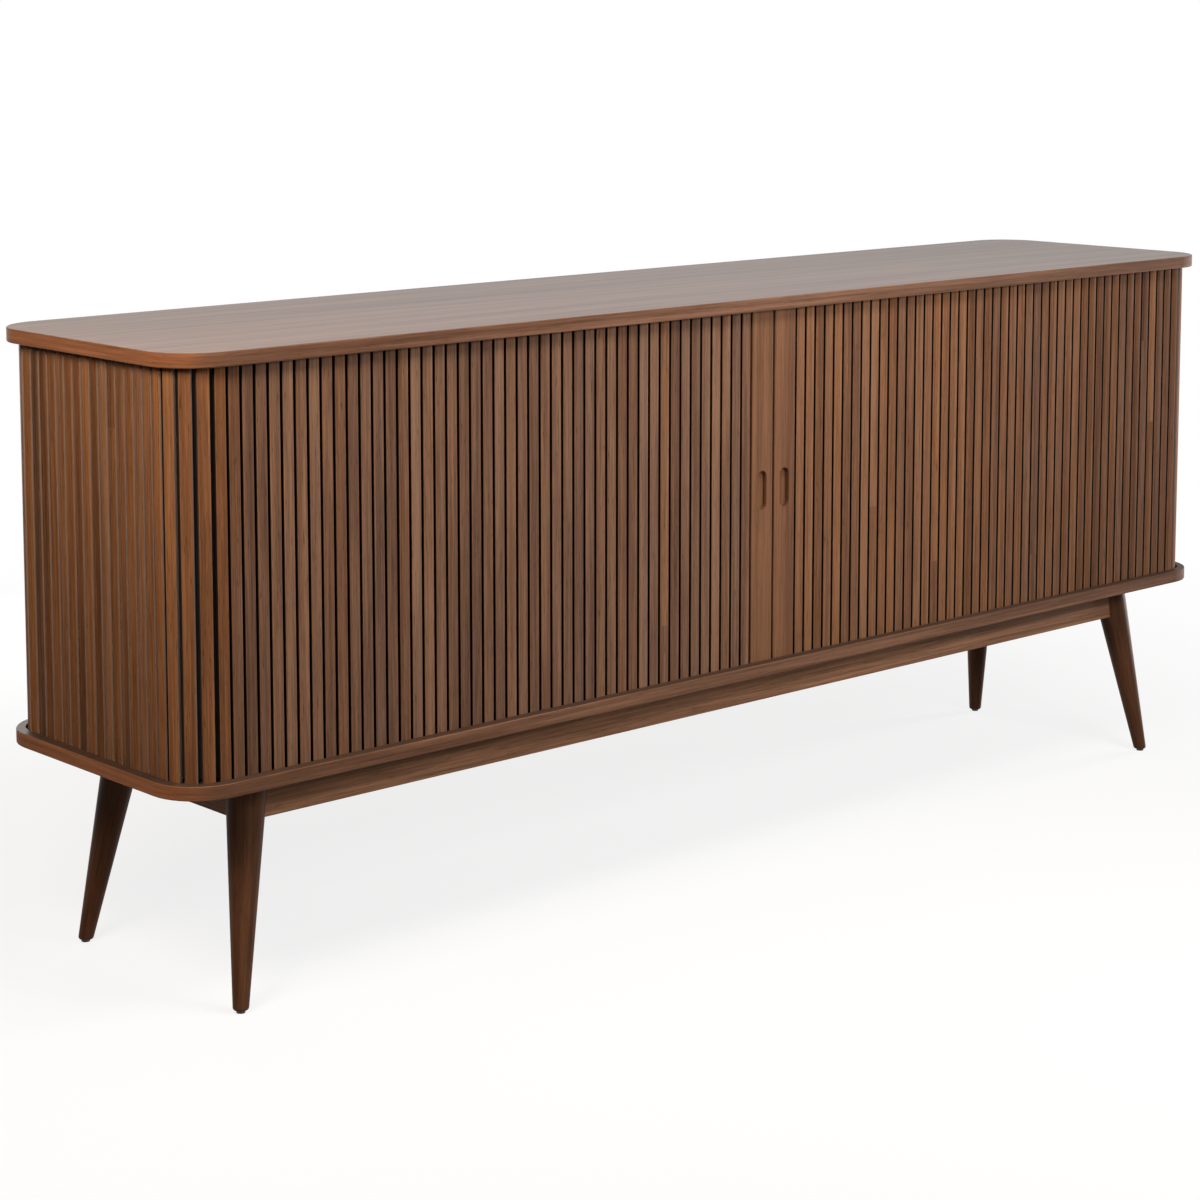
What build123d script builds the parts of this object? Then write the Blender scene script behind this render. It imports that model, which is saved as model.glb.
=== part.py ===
from build123d import *
import math
import os

# Sideboard with two tambour doors that run round rounded corners, on a base with four splayed legs.
# Millimetres, +Z up, +X along the length, front towards -Y, origin on the floor under the middle.

# Overall sizes
cabinet_width = 1966.0
cabinet_depth = 426.0
cabinet_height = 805.0
base_height = 279.0
corner_radius = 67.0

# Top and bottom boards
top_thickness = 18.0
bottom_thickness = 18.0
edge_radius = 1.5

# Tambour slats, their canvas and the groove they run in
slat_width = 15.15
slat_gap = 4.0
slat_thickness = 6.0
slat_edge_radius = 1.2
slat_inset = 15.0
groove_depth = 6.0
groove_clearance = 0.5
tongue_foot_gap = 0.3
tongue_head_gap = 1.2
groove_corner_ease = 7.5
canvas_thickness = 1.0
canvas_margin = 3.0
canvas_joint_gap = 0.4

# Lead stiles, their finger recesses and canvas battens
center_gap = 4.0
stile_width = 40.0
stile_thickness = 15.0
stile_clearance = 1.0
rebate_width = 10.0
recess_width = 18.0
recess_height = 55.0
recess_depth = 7.0
recess_edge_radius = 0.8
recess_drop = 6.0
recess_middle_inset = 20.0
batten_clearance = 0.2
batten_screw_radius = 1.5
batten_screw_head_radius = 2.8
batten_screw_length = 12.0
batten_screw_end_distance = 40.0
batten_screw_count = 5

# Inner carcass
panel_thickness = 18.0
stile_running_gap = 4.0
inner_back_thickness = 9.0
tail_running_gap = 4.0
back_panel_thickness = 6.0
back_panel_gap = 5.0
back_slot_depth = 5.0
back_slot_clearance = 0.2
back_panel_overlap = 5.0
shelf_thickness = 18.0
shelf_setback = 10.0
shelf_clearance = 1.0

# Carcass fittings
dowel_radius = 4.0
dowel_length = 32.0
dowel_in_board = 10.0
dowel_edge_distance = 70.0
pin_radius = 2.5
pin_length = 16.0
pin_in_panel = 7.0
pin_edge_distance = 45.0
pin_hole_spacing = 32.0
pin_hole_rows = 5
back_screw_radius = 1.75
back_screw_head_radius = 3.5
back_screw_length = 30.0
back_screw_end_distance = 60.0
back_screw_count = 3
stop_width = 12.0
stop_height = 40.0
stop_clearance = 0.4
stop_canvas_gap = 1.5
fit_clearance = 0.1

# Base
leg_top_radius = 26.4
leg_foot_radius = 9.8
leg_foot_rounding = 3.5
leg_top_inset_x = 142.0
leg_top_inset_y = 81.0
leg_splay_x = 43.0
leg_splay_y = 42.0
rail_height = 55.0
rail_thickness = 24.0
rail_face_offset = 13.5
rail_edge_radius = 1.0
leg_clearance = 0.2
rail_dowel_length = 40.0
rail_dowel_in_leg = 14.0
rail_dowel_spread = 30.0
block_near = 22.0
block_reach = 50.0
block_height = 50.0
leg_bolt_radius = 4.0
leg_bolt_in_leg = 30.0
leg_bolt_end = 4.0
washer_radius = 10.0
washer_thickness = 1.6
nut_flats = 13.0
nut_height = 6.5
base_screw_radius = 2.0
base_screw_head_radius = 4.0
base_screw_length = 45.0
base_screw_in_board = 10.0
base_screw_share = 0.8
glide_radius = 5.5
glide_height = 3.0
glide_nail_radius = 1.5
glide_nail_length = 12.0

# Heights of the box between the boards
box_floor = base_height + bottom_thickness
box_ceiling = cabinet_height - top_thickness
box_height = box_ceiling - box_floor
slat_foot = box_floor - groove_depth + tongue_foot_gap
slat_length = box_ceiling + groove_depth - tongue_head_gap - slat_foot
canvas_foot = box_floor + canvas_margin
canvas_height = box_height - 2 * canvas_margin

# Track of the slats: a rounded rectangle through the back faces of the slats
front_run = cabinet_width / 2 - corner_radius
side_run = cabinet_depth - 2 * corner_radius
face_depth = cabinet_depth / 2 - slat_inset
track_depth = face_depth - slat_thickness
track_width = cabinet_width / 2 - slat_inset - slat_thickness
track_radius = corner_radius - slat_inset - slat_thickness
bend_run = track_radius * math.pi / 2
slat_pitch = slat_width + slat_gap
stile_inner_edge = center_gap / 2
stile_outer_edge = stile_inner_edge + stile_width
first_slat = stile_outer_edge + slat_gap + slat_width / 2
front_slat_count = math.floor((front_run - first_slat - slat_width / 2) / slat_pitch) + 1
slat_count = math.floor((front_run + 2 * bend_run + side_run - first_slat) / slat_pitch) + 1
door_travel = front_slat_count * slat_pitch
front_canvas_end = first_slat + (front_slat_count - 0.5) * slat_pitch

# Depths of the inner carcass, measured along Y
panel_front = -(face_depth - stile_thickness - stile_running_gap)
inner_back_rear = track_depth - canvas_thickness - tail_running_gap
inner_back_front = inner_back_rear - inner_back_thickness
back_panel_front = face_depth + back_panel_gap
back_panel_middle = back_panel_front + back_panel_thickness / 2
end_panel_middle = front_run - panel_thickness / 2
upright_middles = (-end_panel_middle, 0, end_panel_middle)
dowel_rows = (panel_front + dowel_edge_distance, inner_back_front - dowel_edge_distance)
shelf_front = panel_front + shelf_setback
shelf_back = inner_back_front - shelf_clearance
shelf_underside = (box_floor + box_ceiling - shelf_thickness) / 2
pin_columns = (shelf_front + pin_edge_distance, shelf_back - pin_edge_distance)
pin_height = shelf_underside - pin_radius - fit_clearance
recess_middle = (box_floor + box_ceiling) / 2 - recess_drop

# Leg axis, rail faces and corner blocks, measured from the middle of the base
leg_top_x = cabinet_width / 2 - leg_top_inset_x
leg_top_y = cabinet_depth / 2 - leg_top_inset_y
rail_foot = base_height - rail_height
rail_middle_height = base_height - rail_height / 2
lean_at_rail = rail_height / 2 / base_height
leg_rail_x = leg_top_x + leg_splay_x * lean_at_rail
leg_rail_y = leg_top_y + leg_splay_y * lean_at_rail
rail_center_x = leg_rail_x + rail_face_offset - rail_thickness / 2
rail_center_y = leg_rail_y + rail_face_offset - rail_thickness / 2
rail_inner_x = rail_center_x - rail_thickness / 2
rail_inner_y = rail_center_y - rail_thickness / 2
leg_rail_radius = leg_top_radius + (leg_foot_radius - leg_top_radius) * lean_at_rail
rail_dowel_x = leg_rail_x - leg_rail_radius + rail_dowel_in_leg - rail_dowel_length
rail_dowel_y = leg_rail_y - leg_rail_radius + rail_dowel_in_leg - rail_dowel_length
block_middle = (block_near + block_reach) / 2
bolt_seat = ((rail_thickness - rail_face_offset) * 2 + block_reach) / math.sqrt(2)
bolt_reach = leg_rail_radius - leg_bolt_in_leg
base_screw_head = base_height + base_screw_in_board - base_screw_length

left_right = (("left", -1), ("right", 1))
front_rear = (("front", -1), ("rear", 1))
corners = [(f"{row}_{end}", sx, sy) for row, sy in front_rear for end, sx in left_right]
bottom_up = (Align.CENTER, Align.CENTER, Align.MIN)
top_down = (Align.CENTER, Align.CENTER, Align.MAX)

os.makedirs("parts", exist_ok=True)


def write(block, name):
    """Labels a finished piece and writes it."""
    block.part.label = name
    export_step(block.part, f"parts/{name}.step")


def spread(first, last, count):
    """Evenly spaced values from first to last."""
    return [first + (last - first) * i / (count - 1) for i in range(count)]


def track_place(index, side):
    """Where a slat's back face meets the track, turned so that the slat faces outwards."""
    past_front = first_slat + index * slat_pitch - front_run
    if past_front <= 0:
        return Location((side * (front_run + past_front), -track_depth, 0))
    past_bend = past_front - bend_run
    past_side = past_bend - side_run
    if past_bend <= 0:
        turn = past_front / track_radius
        middle_y = -side_run / 2
    elif past_side <= 0:
        turn = math.pi / 2
        middle_y = -side_run / 2 + past_bend
    else:
        turn = math.pi / 2 + past_side / track_radius
        middle_y = side_run / 2
    x = front_run + track_radius * math.sin(turn)
    y = middle_y - track_radius * math.cos(turn)
    return Location((side * x, y, 0), (0, 0, side * math.degrees(turn)))


def foot_middle(sx, sy):
    """The middle of a leg's foot, where its glide is nailed in."""
    lean = 1 - glide_height / base_height
    return (sx * (leg_top_x + leg_splay_x * lean), sy * (leg_top_y + leg_splay_y * lean))


def bolt_plane(sx, sy):
    """The plane across a leg's bolt: origin on the leg's axis, normal towards the corner block."""
    return Plane(
        origin=(sx * leg_rail_x, sy * leg_rail_y, rail_middle_height),
        x_dir=(0, 0, 1),
        z_dir=(-sx, -sy, 0),
    )


def rail_dowel_places(sx, sy, start):
    """The four dowels at a leg, pointing into it, begun this far from their ends in the rails."""
    places = []
    for rise in (-rail_dowel_spread / 2, rail_dowel_spread / 2):
        height = rail_middle_height + rise
        places.append(Location((sx * rail_dowel_x, sy * rail_center_y, height), (0, sx * 90, 0)))
        places.append(Location((sx * rail_center_x, sy * rail_dowel_y, height), (-sy * 90, 0, 0)))
    return [place * Location((0, 0, start)) for place in places]


def base_screw_places(sx, sy):
    """The heads of the two screws that hold a corner block to the bottom board, pointing up."""
    shares = (base_screw_share, 1 - base_screw_share)
    return [
        Location(
            (
                sx * (rail_inner_x - along_x * block_middle),
                sy * (rail_inner_y - along_y * block_middle),
                base_screw_head,
            ),
            (180, 0, 0),
        )
        for along_x, along_y in (shares, shares[::-1])
    ]


def rail_dowel_holes(sx, sy):
    """Cuts the dowel holes of one leg out of the open part."""
    with Locations(*rail_dowel_places(sx, sy, -fit_clearance)):
        Cylinder(
            dowel_radius + fit_clearance,
            rail_dowel_length + 2 * fit_clearance,
            align=bottom_up,
            mode=Mode.SUBTRACT,
        )


def flush_screw(places, radius, head_radius, length):
    """Countersunk screws in the open part, heads flush with the places and shanks along -Z there."""
    with Locations(*places):
        Cylinder(radius, length - radius, align=top_down)
        Cone(radius, head_radius, head_radius - radius, align=top_down)
    with Locations(*[place * Location((0, 0, radius - length)) for place in places]):
        Cone(radius / 4, radius, radius, align=top_down)


# Top board and bottom board, each with the slat groove, the back panel's slot and dowel holes
for name, inner_face, thickness, rise in (
    ("top_board", box_ceiling, top_thickness, 1),
    ("bottom_board", box_floor, bottom_thickness, -1),
):
    with BuildPart() as board:
        with BuildSketch(Plane.XY.offset(inner_face)):
            RectangleRounded(cabinet_width, cabinet_depth, corner_radius)
        extrude(amount=rise * thickness)
        rims = board.edges().group_by(Axis.Z)
        fillet(rims[0] + rims[-1], edge_radius)
        with BuildSketch(Plane.XY.offset(inner_face)):
            RectangleRounded(
                2 * (track_width + slat_thickness + groove_clearance),
                2 * (face_depth + groove_clearance),
                track_radius + slat_thickness + groove_clearance - groove_corner_ease,
            )
            RectangleRounded(
                2 * (track_width - groove_clearance),
                2 * (track_depth - groove_clearance),
                track_radius - groove_clearance + groove_corner_ease,
                mode=Mode.SUBTRACT,
            )
        extrude(amount=rise * groove_depth, mode=Mode.SUBTRACT)
        with BuildSketch(Plane.XY.offset(inner_face)):
            with Locations((0, back_panel_middle)):
                Rectangle(
                    2 * (front_run - back_panel_overlap + back_slot_clearance),
                    back_panel_thickness + 2 * back_slot_clearance,
                )
        extrude(amount=rise * (back_slot_depth + back_slot_clearance), mode=Mode.SUBTRACT)
        with BuildSketch(Plane.XY.offset(inner_face)):
            with Locations(*[(x, y) for x in upright_middles for y in dowel_rows]):
                Circle(dowel_radius + fit_clearance)
        extrude(amount=rise * (dowel_in_board + fit_clearance), mode=Mode.SUBTRACT)
        if name == "bottom_board":
            for corner, sx, sy in corners:
                with Locations(*base_screw_places(sx, sy)):
                    Hole(base_screw_radius + fit_clearance, depth=base_screw_length + fit_clearance)
    write(board, name)

# End panels and middle divider, with dowel holes, rows of shelf pin holes and pilot holes at the rear
for name, middle, pin_faces in (
    ("left_end_panel", -end_panel_middle, (1,)),
    ("center_divider", 0, (-1, 1)),
    ("right_end_panel", end_panel_middle, (-1,)),
):
    with BuildPart() as upright:
        with BuildSketch(Plane.XY.offset(box_floor)):
            with Locations((middle, (panel_front + inner_back_front) / 2)):
                Rectangle(panel_thickness, inner_back_front - panel_front)
        extrude(amount=box_height)
        for end, into in ((box_floor, 1), (box_ceiling, -1)):
            with BuildSketch(Plane.XY.offset(end)):
                with Locations(*[(middle, y) for y in dowel_rows]):
                    Circle(dowel_radius + fit_clearance)
            extrude(amount=into * (dowel_length - dowel_in_board + fit_clearance), mode=Mode.SUBTRACT)
        for pin_face in pin_faces:
            with BuildSketch(Plane.YZ.offset(middle + pin_face * panel_thickness / 2)):
                for row in range(pin_hole_rows):
                    height = pin_height + (row - (pin_hole_rows - 1) / 2) * pin_hole_spacing
                    with Locations(*[(y, height) for y in pin_columns]):
                        Circle(pin_radius + fit_clearance)
            extrude(amount=-pin_face * (pin_in_panel + fit_clearance), mode=Mode.SUBTRACT)
        with BuildSketch(Plane.XZ.offset(-inner_back_front)):
            for height in spread(
                box_floor + back_screw_end_distance,
                box_ceiling - back_screw_end_distance,
                back_screw_count,
            ):
                with Locations((middle, height)):
                    Circle(back_screw_radius + fit_clearance)
        extrude(amount=back_screw_length - inner_back_thickness + fit_clearance, mode=Mode.SUBTRACT)
    write(upright, name)

# Dowels between the uprights and the boards
with BuildPart() as carcass_dowels:
    for x in upright_middles:
        for y in dowel_rows:
            with Locations((x, y, box_floor - dowel_in_board)):
                Cylinder(dowel_radius, dowel_length, align=bottom_up)
            with Locations((x, y, box_ceiling + dowel_in_board)):
                Cylinder(dowel_radius, dowel_length, align=top_down)
write(carcass_dowels, "carcass_dowels")

# Inner back that keeps the contents off the tails of the doors, and its screws
back_screw_places = [
    Location((x, inner_back_rear, height), (-90, 0, 0))
    for x in upright_middles
    for height in spread(
        box_floor + back_screw_end_distance,
        box_ceiling - back_screw_end_distance,
        back_screw_count,
    )
]
with BuildPart() as inner_back_panel:
    with BuildSketch(Plane.XY.offset(box_floor)):
        with Locations((0, (inner_back_front + inner_back_rear) / 2)):
            Rectangle(2 * front_run, inner_back_thickness)
    extrude(amount=box_height)
    with Locations(*back_screw_places):
        CounterSinkHole(
            back_screw_radius + fit_clearance,
            back_screw_head_radius + fit_clearance,
            depth=inner_back_thickness,
            counter_sink_angle=90,
        )
write(inner_back_panel, "inner_back_panel")

with BuildPart() as inner_back_screws:
    flush_screw(back_screw_places, back_screw_radius, back_screw_head_radius, back_screw_length)
write(inner_back_screws, "inner_back_screws")

# Outer back panel, held in the slots of the two boards
with BuildPart() as back_panel:
    with BuildSketch(Plane.XY.offset(box_floor - back_slot_depth)):
        with Locations((0, back_panel_middle)):
            Rectangle(2 * (front_run - back_panel_overlap), back_panel_thickness)
    extrude(amount=box_height + 2 * back_slot_depth)
write(back_panel, "back_panel")

# Shelves and the pins they lie on
shelf_length = front_run - panel_thickness * 1.5 - 2 * shelf_clearance
shelf_middle = (front_run - panel_thickness / 2) / 2
for end, side in left_right:
    with BuildPart() as shelf:
        with BuildSketch(Plane.XY.offset(shelf_underside)):
            with Locations((side * shelf_middle, (shelf_front + shelf_back) / 2)):
                Rectangle(shelf_length, shelf_back - shelf_front)
        extrude(amount=shelf_thickness)
        front_edges = shelf.edges().filter_by(Axis.X).group_by(Axis.Y)[0]
        fillet(front_edges, edge_radius)
    write(shelf, f"{end}_shelf")

with BuildPart() as shelf_pins:
    for end, side in left_right:
        for y in pin_columns:
            divider_face = Location((side * panel_thickness / 2, y, pin_height), (0, side * 90, 0))
            end_face = Location((side * (front_run - panel_thickness), y, pin_height), (0, -side * 90, 0))
            with Locations(
                divider_face * Location((0, 0, -pin_in_panel)),
                end_face * Location((0, 0, -pin_in_panel)),
            ):
                Cylinder(pin_radius, pin_length, align=bottom_up)
write(shelf_pins, "shelf_pins")

# Blocks on the front edges of the end panels that stop the opened stiles
stop_front = track_depth - canvas_thickness - stop_canvas_gap
with BuildPart() as door_stops:
    for end, side in left_right:
        for foot in (box_floor, box_ceiling - stop_height):
            with BuildSketch(Plane.XY.offset(foot)):
                with Locations((
                    side * (stile_outer_edge + door_travel + stop_clearance + stop_width / 2),
                    (panel_front - stop_front) / 2,
                )):
                    Rectangle(stop_width, panel_front + stop_front)
            extrude(amount=stop_height)
write(door_stops, "door_stops")

# One slat's section, back face on the origin and front towards -Y
with BuildSketch() as slat_section:
    with Locations((0, -slat_thickness / 2)):
        Rectangle(slat_width, slat_thickness)
    fillet(slat_section.vertices().group_by(Axis.Y)[0], slat_edge_radius)

# Rows of slats: the straight front rows move, the rows round the ends show where the doors run on
past_corner = front_run + bend_run - first_slat
past_side = past_corner + side_run
corner_end = math.floor(past_corner / slat_pitch) + 1
side_end = math.floor(past_side / slat_pitch) + 1
for end, side in left_right:
    for row_name, first, last in (
        ("front_slats", 0, front_slat_count),
        ("corner_slats", front_slat_count, corner_end),
        ("side_slats", corner_end, side_end),
        ("rear_slats", side_end, slat_count),
    ):
        with BuildPart() as slats:
            with BuildSketch(Plane.XY.offset(slat_foot)):
                with Locations(*[track_place(index, side) for index in range(first, last)]):
                    add(slat_section.sketch)
            extrude(amount=slat_length)
        write(slats, f"{end}_{row_name}")

# Lead stiles with tongues at both ends, a finger recess in front and a canvas rebate behind
batten_screw_heights = spread(
    canvas_foot + batten_screw_end_distance,
    canvas_foot + canvas_height - batten_screw_end_distance,
    batten_screw_count,
)
batten_rear = face_depth - stile_thickness
batten_thickness = stile_thickness - slat_thickness - canvas_thickness
batten_inner_edge = stile_outer_edge - rebate_width + batten_clearance
batten_middle = (batten_inner_edge + stile_outer_edge) / 2
for end, side in left_right:
    screw_places = [
        Location((side * batten_middle, -batten_rear, height), (-90, 0, 0))
        for height in batten_screw_heights
    ]
    with BuildPart() as lead_stile:
        with BuildSketch(Plane.XY.offset(slat_foot)):
            with Locations((
                side * (stile_inner_edge + stile_outer_edge) / 2,
                -(track_depth + face_depth) / 2,
            )):
                Rectangle(stile_width, slat_thickness)
        extrude(amount=slat_length)
        fillet(lead_stile.edges().filter_by(Axis.Z).group_by(Axis.Y)[0], slat_edge_radius)
        with BuildSketch(Plane.XY.offset(box_floor + stile_clearance)):
            with Locations((
                side * (stile_inner_edge + stile_outer_edge - rebate_width) / 2,
                -(track_depth + batten_rear) / 2,
            )):
                Rectangle(stile_width - rebate_width, track_depth - batten_rear)
        extrude(amount=box_height - 2 * stile_clearance)
        with BuildSketch(Plane.XZ.offset(face_depth)):
            with Locations((side * (stile_inner_edge + recess_middle_inset), recess_middle)):
                SlotOverall(recess_height, recess_width, rotation=90)
        extrude(amount=-recess_depth, mode=Mode.SUBTRACT)
        recess_mouth = lead_stile.faces().sort_by(Axis.Y)[0].inner_wires()[0]
        fillet(recess_mouth.edges(), recess_edge_radius)
        with Locations(*screw_places):
            Hole(batten_screw_radius + fit_clearance, depth=batten_screw_length + fit_clearance)
    write(lead_stile, f"{end}_lead_stile")

    with BuildPart() as front_canvas:
        with BuildSketch(Plane.XY.offset(canvas_foot)):
            with Locations((
                side * (batten_inner_edge + front_canvas_end) / 2,
                -(track_depth - canvas_thickness / 2),
            )):
                Rectangle(front_canvas_end - batten_inner_edge, canvas_thickness)
        extrude(amount=canvas_height)
        with Locations(*screw_places):
            Hole(batten_screw_radius + fit_clearance, depth=batten_screw_length)
    write(front_canvas, f"{end}_front_canvas")

    with BuildPart() as canvas_batten:
        with BuildSketch(Plane.XY.offset(canvas_foot)):
            with Locations((side * batten_middle, -(batten_rear + batten_thickness / 2))):
                Rectangle(stile_outer_edge - batten_inner_edge, batten_thickness)
        extrude(amount=canvas_height)
        with Locations(*screw_places):
            CounterSinkHole(
                batten_screw_radius + fit_clearance,
                batten_screw_head_radius + fit_clearance,
                depth=batten_thickness,
                counter_sink_angle=90,
            )
    write(canvas_batten, f"{end}_canvas_batten")

    with BuildPart() as batten_screws:
        flush_screw(screw_places, batten_screw_radius, batten_screw_head_radius, batten_screw_length)
    write(batten_screws, f"{end}_batten_screws")

    with BuildPart() as tail_canvas:
        with BuildSketch(Plane.XY.offset(canvas_foot)):
            RectangleRounded(2 * track_width, 2 * track_depth, track_radius)
            RectangleRounded(
                2 * (track_width - canvas_thickness),
                2 * (track_depth - canvas_thickness),
                track_radius - canvas_thickness,
                mode=Mode.SUBTRACT,
            )
            with Locations((side * (front_canvas_end + canvas_joint_gap + cabinet_width / 2), 0)):
                Rectangle(cabinet_width, cabinet_depth, mode=Mode.INTERSECT)
        extrude(amount=canvas_height)
    write(tail_canvas, f"{end}_tail_canvas")

# Legs with bolt, dowel and glide holes, the room they take in other pieces, and the blocks behind them
leg_rooms = []
for corner, sx, sy in corners:
    with BuildPart() as leg:
        with BuildSketch(Plane.XY.offset(glide_height)):
            with Locations(foot_middle(sx, sy)):
                Circle(leg_foot_radius)
        with BuildSketch(Plane.XY.offset(base_height)):
            with Locations((sx * leg_top_x, sy * leg_top_y)):
                Circle(leg_top_radius)
        loft(ruled=True)
        fillet(leg.edges().group_by(Axis.Z)[0], leg_foot_rounding)
        with BuildSketch(bolt_plane(sx, sy).offset(bolt_reach - fit_clearance)):
            Circle(leg_bolt_radius + fit_clearance)
        extrude(amount=leg_top_radius + leg_bolt_in_leg, mode=Mode.SUBTRACT)
        rail_dowel_holes(sx, sy)
        with Locations((*foot_middle(sx, sy), glide_height)):
            Hole(glide_nail_radius + fit_clearance, depth=glide_nail_length + fit_clearance)
    write(leg, f"{corner}_leg")

    with BuildPart() as leg_room:
        with BuildSketch(Plane.XY.offset(glide_height)):
            with Locations(foot_middle(sx, sy)):
                Circle(leg_foot_radius + leg_clearance)
        with BuildSketch(Plane.XY.offset(base_height)):
            with Locations((sx * leg_top_x, sy * leg_top_y)):
                Circle(leg_top_radius + leg_clearance)
        loft(ruled=True)
    leg_rooms.append(leg_room.part)

    with BuildPart() as corner_block:
        with BuildSketch(Plane.XY.offset(base_height - block_height)):
            with BuildLine():
                Polyline(
                    (sx * (rail_inner_x - block_near), sy * rail_inner_y),
                    (sx * (rail_inner_x - block_reach), sy * rail_inner_y),
                    (sx * rail_inner_x, sy * (rail_inner_y - block_reach)),
                    (sx * rail_inner_x, sy * (rail_inner_y - block_near)),
                    close=True,
                )
            make_face()
        extrude(amount=block_height)
        add(leg_room.part, mode=Mode.SUBTRACT)
        with BuildSketch(bolt_plane(sx, sy)):
            Circle(leg_bolt_radius + fit_clearance)
        extrude(amount=2 * bolt_seat, mode=Mode.SUBTRACT)
        with Locations(*base_screw_places(sx, sy)):
            CounterSinkHole(
                base_screw_radius + fit_clearance,
                base_screw_head_radius + fit_clearance,
                depth=base_screw_length,
                counter_sink_angle=90,
            )
    write(corner_block, f"{corner}_corner_block")

# Rails between the legs, each end hollowed to the leg that it meets
for row, sy in front_rear:
    with BuildPart() as long_rail:
        with BuildSketch(Plane.XY.offset(rail_foot)):
            with Locations((0, sy * rail_center_y)):
                Rectangle(2 * leg_rail_x, rail_thickness)
        extrude(amount=rail_height)
        fillet(long_rail.edges().filter_by(Axis.X).group_by(Axis.Z)[0], rail_edge_radius)
        add(leg_rooms, mode=Mode.SUBTRACT)
        for end, sx in left_right:
            rail_dowel_holes(sx, sy)
    write(long_rail, f"{row}_rail")

for end, sx in left_right:
    with BuildPart() as short_rail:
        with BuildSketch(Plane.XY.offset(rail_foot)):
            with Locations((sx * rail_center_x, 0)):
                Rectangle(rail_thickness, 2 * leg_rail_y)
        extrude(amount=rail_height)
        fillet(short_rail.edges().filter_by(Axis.Y).group_by(Axis.Z)[0], rail_edge_radius)
        add(leg_rooms, mode=Mode.SUBTRACT)
        for row, sy in front_rear:
            rail_dowel_holes(sx, sy)
    write(short_rail, f"{end}_rail")

# Fixings of the base: rail dowels, leg bolts with washers and nuts, block screws and foot glides
with BuildPart() as rail_dowels:
    for corner, sx, sy in corners:
        with Locations(*rail_dowel_places(sx, sy, 0)):
            Cylinder(dowel_radius, rail_dowel_length, align=bottom_up)
write(rail_dowels, "rail_dowels")

with BuildPart() as leg_bolts:
    for corner, sx, sy in corners:
        with BuildSketch(bolt_plane(sx, sy).offset(bolt_reach)):
            Circle(leg_bolt_radius)
        extrude(amount=bolt_seat + washer_thickness + nut_height + leg_bolt_end - bolt_reach)
write(leg_bolts, "leg_bolts")

with BuildPart() as leg_washers:
    for corner, sx, sy in corners:
        with BuildSketch(bolt_plane(sx, sy).offset(bolt_seat)):
            Circle(washer_radius)
            Circle(leg_bolt_radius + fit_clearance, mode=Mode.SUBTRACT)
        extrude(amount=washer_thickness)
write(leg_washers, "leg_washers")

with BuildPart() as leg_nuts:
    for corner, sx, sy in corners:
        with BuildSketch(bolt_plane(sx, sy).offset(bolt_seat + washer_thickness)):
            RegularPolygon(nut_flats / 2, 6, major_radius=False)
            Circle(leg_bolt_radius + fit_clearance, mode=Mode.SUBTRACT)
        extrude(amount=nut_height)
write(leg_nuts, "leg_nuts")

with BuildPart() as base_screws:
    for corner, sx, sy in corners:
        flush_screw(
            base_screw_places(sx, sy), base_screw_radius, base_screw_head_radius, base_screw_length
        )
write(base_screws, "base_screws")

with BuildPart() as foot_glides:
    for corner, sx, sy in corners:
        with Locations((*foot_middle(sx, sy), 0)):
            Cylinder(glide_radius, glide_height, align=bottom_up)
            Cylinder(glide_nail_radius, glide_height + glide_nail_length, align=bottom_up)
write(foot_glides, "foot_glides")
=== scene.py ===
"""Looks of a walnut sideboard with two tambour doors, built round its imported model."""

import math
import random

import bpy
from bpy.props import FloatProperty, FloatVectorProperty, IntProperty, PointerProperty
from bpy.types import Operator, Panel, PropertyGroup
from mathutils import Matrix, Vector


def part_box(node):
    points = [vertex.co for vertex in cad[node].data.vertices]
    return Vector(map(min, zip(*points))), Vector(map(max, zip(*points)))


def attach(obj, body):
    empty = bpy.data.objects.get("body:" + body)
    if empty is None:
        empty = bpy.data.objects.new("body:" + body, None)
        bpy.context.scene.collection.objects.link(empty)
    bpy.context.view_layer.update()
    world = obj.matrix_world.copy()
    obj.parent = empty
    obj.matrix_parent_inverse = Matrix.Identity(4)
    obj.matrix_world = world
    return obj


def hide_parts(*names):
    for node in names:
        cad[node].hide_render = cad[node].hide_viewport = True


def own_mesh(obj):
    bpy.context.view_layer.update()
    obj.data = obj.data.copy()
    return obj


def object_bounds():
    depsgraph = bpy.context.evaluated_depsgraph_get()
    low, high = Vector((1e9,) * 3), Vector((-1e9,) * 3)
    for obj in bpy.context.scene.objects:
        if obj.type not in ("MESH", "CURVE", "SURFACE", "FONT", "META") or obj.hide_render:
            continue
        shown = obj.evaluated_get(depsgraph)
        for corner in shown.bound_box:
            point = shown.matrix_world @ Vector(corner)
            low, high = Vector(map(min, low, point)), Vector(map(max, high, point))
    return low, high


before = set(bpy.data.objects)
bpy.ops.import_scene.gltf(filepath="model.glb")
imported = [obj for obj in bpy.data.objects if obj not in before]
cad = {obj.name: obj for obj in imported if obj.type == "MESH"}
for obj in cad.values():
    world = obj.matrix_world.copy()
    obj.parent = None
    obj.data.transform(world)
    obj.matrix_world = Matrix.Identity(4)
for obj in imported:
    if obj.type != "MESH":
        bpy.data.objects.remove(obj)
cad_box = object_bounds()

bl_info = {
    "name": "Tambour Sideboard",
    "version": (1, 0, 0),
    "blender": (4, 5, 0),
    "location": "3D View > Sidebar > Sideboard",
    "description": "Slats, canvas, walnut finishes and a small studio for a tambour sideboard",
    "category": "Object",
}

SIDES = (("left", -1), ("right", 1))
SLAT_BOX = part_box("left_front_slats")

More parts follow.
